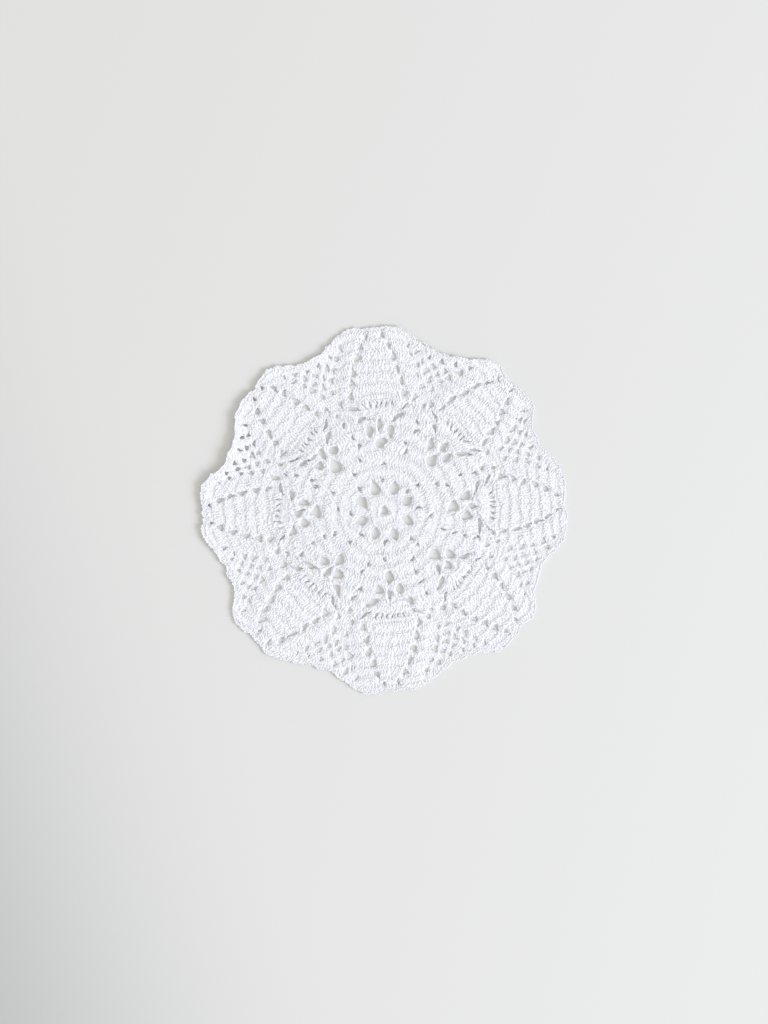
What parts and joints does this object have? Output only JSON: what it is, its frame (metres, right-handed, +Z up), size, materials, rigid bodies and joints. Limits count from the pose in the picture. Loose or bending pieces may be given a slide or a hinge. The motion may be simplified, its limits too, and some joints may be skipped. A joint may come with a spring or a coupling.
{
  "type": "lace coaster",
  "caption": "Round crocheted table coaster with a scalloped rim, pineapple motifs parted by open net, and a flat dense middle where a cup stands.",
  "frame": {"origin": "middle of the coaster's outline, on the surface it lies on", "axes": "+Z up, out of the upper face; +Y towards the top of the picture"},
  "size_m": [0.149, 0.1494, 0.0069],
  "materials": {
    "cotton_thread": "matt white cotton thread, crocheted"
  },
  "bodies": {
    "root": {"lace_coaster": "cotton_thread"}
  },
  "joints": []
}
